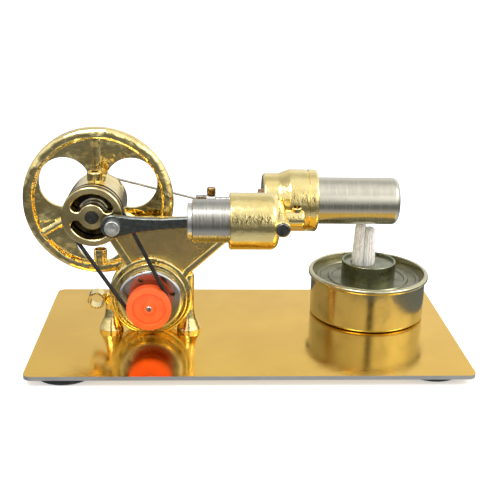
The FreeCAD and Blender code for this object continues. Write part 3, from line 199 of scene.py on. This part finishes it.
# ---------------------------------------------------------------- materials
# Noise scales count features per metre, and bump distances are the relief's height.
GOLD = (0.93, 0.78, 0.36)
GOLD_DEEP = (0.86, 0.65, 0.24)
PLATE_GOLD = (0.82, 0.52, 0.092)
STEEL = (0.60, 0.59, 0.56)


def orange_peel(paint):
    """Height of a cast surface that was polished by tumbling: soft hollows with finer ripples."""
    fine_share = 0.3
    peel = paint.noise(460, 2.5, distortion=0.4)
    fine = paint.noise(2000, 2.5)
    return paint.maths("ADD", peel, paint.maths("MULTIPLY", fine, fine_share))


def polished_gold(name="polished_gold", swell=0.0):
    """Gold-plated die casting: orange peel, faint tarnish and, with swell, wider soft waves."""
    peel_depth = 0.22 * MM
    paint = Paint(name)
    color = paint.blend(paint.spread(paint.noise(110, 5), 0.35, 0.75), GOLD, GOLD_DEEP)
    waves = paint.maths("MULTIPLY", paint.noise(95, 2.0), swell)
    paint.bump(paint.maths("ADD", orange_peel(paint), waves), peel_depth, 0.6)
    rough = paint.spread(paint.noise(260, 3), 0.3, 0.7, 0.07, 0.16)
    return paint.finish(color, rough, 1.0)


def frame_gold():
    """The frame's casting: polished outside, grainy in the web's recess, with painted shade on the
    bearing housing's front face.
    """
    skin_color = (0.34, 0.30, 0.16)
    housing_shade_color = (0.030, 0.025, 0.018)
    near, far = 0.2 * MM, 0.3 * MM
    paint = Paint("frame_gold")
    depth = paint.place("Y")
    facing = paint.spread(paint.maths("MULTIPLY", paint.normal("Y"), -1.0), 0.9, 0.99)
    behind = paint.spread(depth, RECESS_FLOOR - far, RECESS_FLOOR - near)
    ahead = paint.spread(depth, RECESS_FLOOR + near, RECESS_FLOOR + far, 1.0, 0.0)
    skin = paint.maths("MULTIPLY", facing, paint.maths("MULTIPLY", behind, ahead))
    grain = paint.noise(1700, 3.5, roughness=0.6, distortion=0.6)
    height = paint.maths("ADD", paint.maths("MULTIPLY", orange_peel(paint), 0.7),
                         paint.maths("MULTIPLY", grain, paint.maths("MULTIPLY", skin, 1.5)))
    paint.bump(height, 0.26 * MM, 0.7)
    color = paint.blend(paint.spread(paint.noise(130, 5), 0.35, 0.7), GOLD, GOLD_DEEP)
    color = paint.blend(paint.maths("MULTIPLY", skin, 0.8), color, skin_color)
    # Painted shade: the bearing housing's front face, seen through the crank disc's slots, is
    # painted near-black.
    housing_shade = paint.spread(depth, HOUSING_FACE, HOUSING_FACE + 0.4 * MM, 1.0, 0.0)
    color = paint.blend(housing_shade, color, housing_shade_color)
    rough = paint.maths("ADD", paint.maths("MULTIPLY", skin, 0.16), 0.1)
    return paint.finish(color, rough, 1.0)


def turned_gold():
    """Turned gold face: fine concentric tool marks about the crankshaft."""
    bright, dull = (0.78, 0.64, 0.32), (0.62, 0.49, 0.22)
    mark_turns = 21000.0       # radians of phase per metre, so the marks are 0.3 mm apart
    paint = Paint("turned_gold")
    low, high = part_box("crank_disc")
    middle = (low + high) / 2
    across = paint.maths("SUBTRACT", paint.place("X"), middle.x)
    upward = paint.maths("SUBTRACT", paint.place("Z"), middle.z)
    radius = paint.maths("SQRT", paint.maths("ADD", paint.maths("MULTIPLY", across, across),
                                             paint.maths("MULTIPLY", upward, upward)))
    rings = paint.maths("SINE", paint.maths("MULTIPLY", radius, mark_turns))
    waver = paint.noise(500, 3)
    height = paint.maths("ADD", paint.maths("MULTIPLY", rings, 0.25), waver)
    paint.bump(height, 0.08 * MM, 0.5)
    color = paint.blend(paint.spread(paint.noise(160, 4), 0.3, 0.7), bright, dull)
    return paint.finish(color, 0.24, 1.0)


def plate_gold():
    """Anodised gold sheet with a bright cut edge of bare aluminium."""
    worn_gold = (0.76, 0.47, 0.085)
    bare_edge = (0.92, 0.92, 0.89)
    paint = Paint("plate_gold")
    edge = paint.spread(paint.maths("ABSOLUTE", paint.normal("Z")), 0.55, 0.8, 1.0, 0.0)
    drift = paint.spread(paint.noise(35, 5), 0.3, 0.7)
    gold = paint.blend(drift, PLATE_GOLD, worn_gold)
    color = paint.blend(edge, gold, bare_edge)
    streaks = paint.noise(900, 3, vector=paint.mapped((0.06, 1, 1)))
    haze = paint.noise(140, 4)
    paint.bump(paint.maths("ADD", streaks, haze), 0.03 * MM, 0.35)
    rough = paint.maths("ADD", paint.spread(haze, 0.3, 0.7, 0.11, 0.19),
                        paint.maths("MULTIPLY", edge, 0.18))
    return paint.finish(color, rough, 1.0)


def steel(name, color, rough, along, scale=2600, stretch=0.04, depth=0.012 * MM):
    """Satin metal whose fine marks run across the given axis of the piece."""
    paint = Paint(name)
    squeeze = [stretch, stretch, stretch]
    squeeze["XYZ".index(along)] = 1.0
    marks = paint.noise(scale, 3, vector=paint.mapped(tuple(squeeze)))
    cloud = paint.noise(260, 4)
    paint.bump(paint.maths("ADD", marks, paint.maths("MULTIPLY", cloud, 0.6)), depth, 0.6)
    mottle = paint.spread(paint.maths("ADD", marks, cloud), 0.7, 1.3)
    tint = paint.blend(mottle, shade(color, 0.9), color)
    return paint.finish(tint, paint.spread(marks, 0.3, 0.7, rough * 0.8, rough * 1.2), 1.0)


def plain_metal(name, color, rough, grain=800):
    """Small bright parts with a faint cloudy grain."""
    paint = Paint(name)
    cloud = paint.noise(grain, 4)
    paint.bump(cloud, 0.06 * MM, 0.5)
    tint = paint.blend(paint.spread(cloud, 0.3, 0.7), shade(color, 0.8), color)
    return paint.finish(tint, paint.spread(cloud, 0.3, 0.7, rough * 0.8, rough * 1.25), 1.0)


def rubber(name, color, rough):
    """Rubber, nylon, ferrite and gasket card: a fine speckle with dusty patches."""
    paint = Paint(name)
    speck = paint.noise(3000, 3)
    paint.bump(speck, 0.08 * MM, 0.5)
    light = tuple(min(1.0, part * 1.9 + 0.004) for part in color)
    tint = paint.blend(paint.spread(paint.noise(500, 4), 0.4, 0.75), color, light)
    return paint.finish(tint, paint.spread(speck, 0.3, 0.7, rough * 0.9, rough * 1.1), 0.0)


def orange_plastic():
    """Opaque moulded plastic with a faint eggshell texture and a soft sheen."""
    light, deep = (0.93, 0.125, 0.012), (0.85, 0.10, 0.009)
    paint = Paint("orange_plastic")
    skin = paint.noise(2600, 3)
    cloud = paint.noise(300, 4)
    paint.bump(skin, 0.05 * MM, 0.5)
    tint = paint.blend(paint.spread(cloud, 0.3, 0.7), light, deep)
    return paint.finish(tint, paint.spread(skin, 0.3, 0.7, 0.34, 0.46), 0.0,
                        Subsurface_Weight=0.12, Subsurface_Scale=1.2 * MM)


def tin(name, color, rough):
    """Tinned sheet: soft spangle, slight waviness and a little staining."""
    paint = Paint(name)
    spangle = paint.cells(420)
    wave = paint.noise(70, 3)
    stain = paint.noise(150, 5)
    relief = paint.maths("ADD", paint.maths("MULTIPLY", spangle, 0.25), wave)
    paint.bump(relief, 0.18 * MM, 0.35)
    tint = paint.blend(paint.spread(stain, 0.45, 0.8), color, shade(color, 0.72))
    return paint.finish(tint, paint.spread(stain, 0.3, 0.7, rough * 0.8, rough * 1.3), 1.0)


def cotton():
    """Fuzzy white cotton with painted shade in the gaps between the fibres."""
    paint = Paint("cotton")
    fibres = paint.noise(2600, 4, vector=paint.mapped((1, 1, 0.22)), distortion=0.6)
    cloud = paint.noise(420, 4)
    paint.bump(fibres, 0.3 * MM, 0.8)
    # Painted shade: the colour is darker where the fibre relief is low, in the gaps between the
    # fibres.
    gap_shade, fibre, stain = (0.62, 0.59, 0.50), (0.90, 0.885, 0.83), (0.76, 0.73, 0.62)
    tint = paint.blend(paint.spread(fibres, 0.3, 0.62), gap_shade, fibre)
    tint = paint.blend(paint.spread(cloud, 0.5, 0.85, 0.0, 0.3), tint, stain)
    return paint.finish(tint, 0.92, 0.0, Sheen_Weight=0.35, Sheen_Roughness=0.6,
                        Subsurface_Weight=0.25, Subsurface_Scale=1.5 * MM)


# ---------------------------------------------------------------- cotton wick
def lobe(name, foot, top, half_width, half_depth, rise, seed):
    """One tuft of the cotton wick: a soft rounded column with loose strands along it."""
    around, rows = 96, 60
    strand_count, fewest, most = 11, 5, 23
    shallow, deepest = 0.012, 0.045
    twist = 2.2
    dome_start = 0.9
    weld = 0.02 * MM
    draw = random.Random(seed)
    strands = [(draw.uniform(0, 2 * math.pi), draw.randint(fewest, most),
                draw.uniform(shallow, deepest)) for _ in range(strand_count)]
    low, high = rise
    mesh = bpy.data.meshes.new(name)
    build = bmesh.new()
    rings = []
    for row in range(rows + 1):
        share = row / rows
        dome = math.sqrt(max(0.0, 1 - max(0.0, (share - dome_start) / (1 - dome_start)) ** 3))
        belly = 0.93 + 0.12 * math.sin(math.pi * min(1.0, share * 1.1))
        middle = Vector(foot).lerp(Vector(top), share ** 1.3)
        ring = []
        for step in range(around):
            angle = 2 * math.pi * step / around
            ripple = 1.0
            for phase, count, depth in strands:
                ripple += depth * math.sin(count * angle + phase + twist * share * math.sin(phase))
            reach = belly * dome * ripple
            ring.append(build.verts.new((middle.x + half_width * reach * math.cos(angle),
                                         middle.y + half_depth * reach * math.sin(angle),
                                         low + (high - low) * share)))
        rings.append(ring)
    for lower, upper in zip(rings, rings[1:]):
        for step in range(around):
            following = (step + 1) % around
            build.faces.new((lower[step], lower[following], upper[following], upper[step]))
    build.faces.new(list(reversed(rings[0])))
    build.faces.new(rings[-1])
    bmesh.ops.remove_doubles(build, verts=build.verts, dist=weld)
    bmesh.ops.recalc_face_normals(build, faces=build.faces)
    for face in build.faces:
        face.smooth = True
    build.to_mesh(mesh)
    build.free()
    return link_mesh(name, mesh)


def make_wick():
    """Two cotton tufts that stand in the collar, the left one a little taller."""
    low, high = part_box("wick")
    middle = (low + high) / 2
    nearer = 0.4 * MM
    left = lobe("wick_tuft_left", foot=(middle.x - 2.4 * MM, middle.y),
                top=(middle.x - 1.7 * MM, middle.y), half_width=2.25 * MM, half_depth=2.9 * MM,
                rise=(low.z, high.z - 0.1 * MM), seed=3)
    right = lobe("wick_tuft_right", foot=(middle.x + 2.3 * MM, middle.y - nearer),
                 top=(middle.x + 1.9 * MM, middle.y - nearer), half_width=2.25 * MM,
                 half_depth=2.8 * MM, rise=(low.z, high.z - 1.9 * MM), seed=8)
    fabric = cotton()
    for tuft in (left, right):
        tuft.data.materials.append(fabric)
        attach(tuft, "burner")
        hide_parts("wick")


# ---------------------------------------------------------------- CAD nodes
def dress_nodes():
    """One material for each CAD node."""
    gold = polished_gold()
    shiny = plain_metal("shiny_steel", (0.66, 0.65, 0.62), 0.2)
    dark = plain_metal("dark_steel", (0.16, 0.16, 0.15), 0.3)
    brass = plain_metal("turned_brass", (0.62, 0.42, 0.15), 0.25)
    bronze = plain_metal("bronze", (0.50, 0.32, 0.17), 0.32)
    pads = rubber("pad_rubber", (0.010, 0.010, 0.010), 0.55)
    finishes = {
        "base_plate": plate_gold(), "engine_frame": frame_gold(), "crank_disc": turned_gold(),
        "flywheel": polished_gold("wheel_gold", 16.0),
        "power_cylinder": steel("liner_steel", (0.46, 0.45, 0.40), 0.27, "X"),
        "power_piston": steel("piston_steel", (0.72, 0.71, 0.68), 0.32, "X"),
        "displacer": steel("satin_steel", STEEL, 0.27, "X"),
        "hot_cap": steel("cap_steel", (0.64, 0.61, 0.50), 0.23, "X"),
        "conrod": steel("rod_steel", (0.17, 0.185, 0.17), 0.3, "Y", 1300, 0.6, 0.06 * MM),
        "crank_pin_screw": plain_metal("screw_zinc", (0.80, 0.80, 0.76), 0.38),
        "cap_seal": rubber("gasket", (0.55, 0.53, 0.48), 0.8),
        "generator_can": steel("can_nickel", (0.74, 0.73, 0.70), 0.22, "Y"),
        "generator_end_cap": rubber("black_nylon", (0.012, 0.012, 0.013), 0.42),
        "generator_magnets": rubber("ferrite", (0.03, 0.03, 0.032), 0.5),
        "generator_rotor": plain_metal("copper_winding", (0.62, 0.27, 0.12), 0.3, 1500),
        "generator_pulley": orange_plastic(),
        "drive_belt": rubber("belt_rubber", (0.008, 0.008, 0.008), 0.5),
        "burner_can": tin("tinned_can", (0.56, 0.52, 0.33), 0.2),
        "burner_lid": tin("tinned_lid", (0.23, 0.22, 0.14), 0.3),
        "wick_tube": tin("dull_collar", (0.27, 0.28, 0.18), 0.28),
        "wick": cotton(),
    }
    shared = {
        gold: ("cylinder_block", "cap_retaining_ring"),
        dark: ("crankshaft", "flywheel_set_screw", "transfer_port_plug"),
        shiny: ("displacer_rod", "wrist_pin", "frame_screws", "displacer_crank_pin",
                "displacer_link", "clevis", "clevis_pin", "bearing_front", "bearing_rear",
                "generator_shaft"),
        brass: ("clevis_screw", "generator_terminals"),
        bronze: ("conrod_bush", "rod_guide_bush"),
        pads: [name for name in NODES if name.startswith("foot_")],
    }
    for material, names in shared.items():
        for name in names:
            finishes[name] = material
    for name, piece in NODES.items():
        piece.data.materials.clear()
        piece.data.materials.append(finishes[name])


# ---------------------------------------------------------------- floor, studio and lights
def make_floor():
    """Wide pale floor; metal takes its reflections from the soft studio around it."""
    half = 6.0
    glow = 0.45
    mesh = bpy.data.meshes.new("floor")
    mesh.from_pydata([(-half, -half, 0), (half, -half, 0), (half, half, 0), (-half, half, 0)], [],
                     [(0, 1, 2, 3)])
    floor = link_mesh("floor", mesh)
    paint = Paint("floor_paper")
    paint.finish((0.9, 0.9, 0.9), 0.9)
    paint.shader.inputs["Emission Color"].default_value = (1, 1, 1, 1)
    paint.shader.inputs["Emission Strength"].default_value = glow
    mesh.materials.append(paint.material)
    floor.visible_glossy = False


# The studio's brightness by elevation in degrees, in front of the object and behind it.
FRONT_BANDS = [(-90, 0.62), (-42, 0.52), (-30, 0.3), (-22, 0.15), (-7, 0.14), (2, 0.42),
               (12, 0.8), (20, 1.25), (34, 1.35), (45, 0.85), (62, 1.0), (90, 0.92)]
BACK_BANDS = [(-90, 0.62), (-30, 0.5), (-22, 0.14), (-6, 0.12), (0, 0.72), (20, 0.84),
              (38, 0.86), (50, 0.62), (68, 0.6), (90, 0.92)]
TOP_LEVEL = 2.0                # the level that a ramp's white stands for
SIDE_LEVELS = (1.6, 2.7)       # the studio is brighter towards the burner end
DARK_MIDDLE = {"X": -0.01, "Z": 0.33}
DARK_HALF = {"X": 0.11, "Z": 0.34}
DARK_LEVEL = 0.08


def make_world():
    """Soft studio all round, with the dark shape of whoever stands in front of the object."""
    world = bpy.data.worlds.new("studio")
    bpy.context.scene.world = world
    world.use_nodes = True
    graph = Graph(world.node_tree)
    heading = graph.node("TexCoord").outputs["Generated"]
    along = {letter: graph.axis(letter, heading) for letter in "XYZ"}

    def ramp(bands):
        made = graph.node("ValToRGB")
        graph.join(graph.spread(along["Z"], -1.0, 1.0, smooth=False), made.inputs["Fac"])
        stops = made.color_ramp.elements
        while len(stops) < len(bands):
            stops.new(0.5)
        for stop, (elevation, level) in zip(stops, bands):
            stop.position = (math.sin(math.radians(elevation)) + 1) / 2
            stop.color = (level / TOP_LEVEL, level / TOP_LEVEL, level / TOP_LEVEL, 1)
        return made.outputs["Color"]

    def squared_offset(letter):
        offset = graph.maths("DIVIDE", graph.maths("SUBTRACT", along[letter], DARK_MIDDLE[letter]),
                             DARK_HALF[letter])
        return graph.maths("MULTIPLY", offset, offset)

    back = graph.spread(along["Y"], -0.15, 0.25)
    away = graph.maths("ADD", squared_offset("X"), squared_offset("Z"))
    dark = graph.maths("MULTIPLY", graph.spread(away, 0.65, 1.3, 1.0, 0.0),
                       graph.maths("SUBTRACT", 1.0, back))
    front = graph.blend(dark, ramp(FRONT_BANDS), (DARK_LEVEL / TOP_LEVEL,) * 3)
    background = world.node_tree.nodes["Background"]
    graph.join(graph.blend(back, front, ramp(BACK_BANDS)), background.inputs["Color"])
    graph.join(graph.spread(along["X"], -0.6, 0.6, *SIDE_LEVELS, smooth=False),
               background.inputs["Strength"])


def make_area_light(name, place, target, width, power):
    data = bpy.data.lights.new(name, "AREA")
    data.shape = "SQUARE"
    data.size = width
    data.energy = power
    light = bpy.data.objects.new(name, data)
    bpy.context.scene.collection.objects.link(light)
    light.location = place
    light.rotation_euler = (Vector(target) - Vector(place)).to_track_quat("-Z", "Y").to_euler()


make_camera()
make_floor()
make_world()
make_area_light("key", (-0.25, -0.35, 0.75), (0, 0, 0.04), 0.35, 4.0)
make_area_light("fill", (0.5, -0.2, 0.5), (0, 0, 0.04), 0.3, 1.5)
dress_nodes()
make_wick()
bpy.context.scene.view_settings.view_transform = "Standard"
